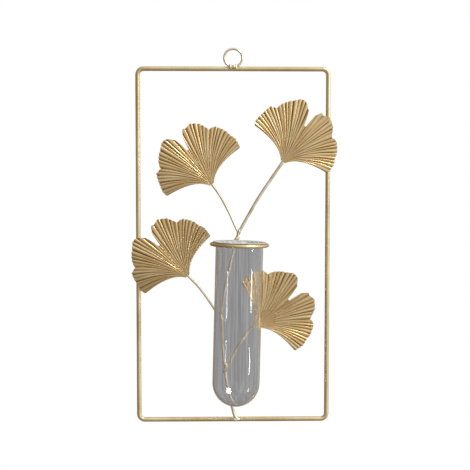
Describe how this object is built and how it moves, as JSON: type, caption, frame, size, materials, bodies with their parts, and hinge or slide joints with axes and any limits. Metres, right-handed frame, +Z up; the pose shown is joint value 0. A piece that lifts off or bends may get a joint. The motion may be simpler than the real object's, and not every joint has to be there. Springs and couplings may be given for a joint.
{
  "type": "hanging wall vase",
  "caption": "Wall-hung gold wire frame with a branch of ribbed ginkgo leaves and a wire ring holding a removable glass tube for flowers.",
  "frame": {"origin": "middle of the hang ring, where the nail or hook goes through", "axes": "+X to the right as seen from the room, +Y to the wall, +Z up"},
  "size_m": [0.1785, 0.0565, 0.3262],
  "materials": {
    "gold_wire": "satin antique gold paint on steel wire",
    "gold_leaf": "satin antique gold paint on stamped steel sheet",
    "gold_braze": "painted over, slightly rough braze",
    "tube_glass": "clear glass, fire-polished lip"
  },
  "bodies": {
    "root": {"frame_wire": "gold_wire", "hang_ring": "gold_wire", "main_stem": "gold_wire", "upper_left_stem": "gold_wire", "left_stem": "gold_wire", "right_stem": "gold_wire", "holder_ring": "gold_wire", "leaf_upper_left": "gold_leaf", "leaf_upper_right": "gold_leaf", "leaf_left": "gold_leaf", "leaf_right": "gold_leaf", "hang_ring_weld": "gold_braze", "foot_weld": "gold_braze", "holder_ring_weld": "gold_braze", "upper_fork_weld": "gold_braze", "left_fork_weld": "gold_braze", "lower_fork_weld": "gold_braze", "leaf_upper_left_weld": "gold_braze", "leaf_upper_right_weld": "gold_braze", "leaf_left_weld": "gold_braze", "leaf_right_weld": "gold_braze", "leaf_upper_right_bar_weld": "gold_braze", "leaf_left_bar_weld": "gold_braze"},
    "tube": {"glass_tube": "tube_glass"}
  },
  "joints": [
    {"name": "tube_lift", "type": "slide", "parent": "root", "child": "tube", "axis": [0.0244, 0, 0.9997], "range_m": [0, 0.14]}
  ]
}
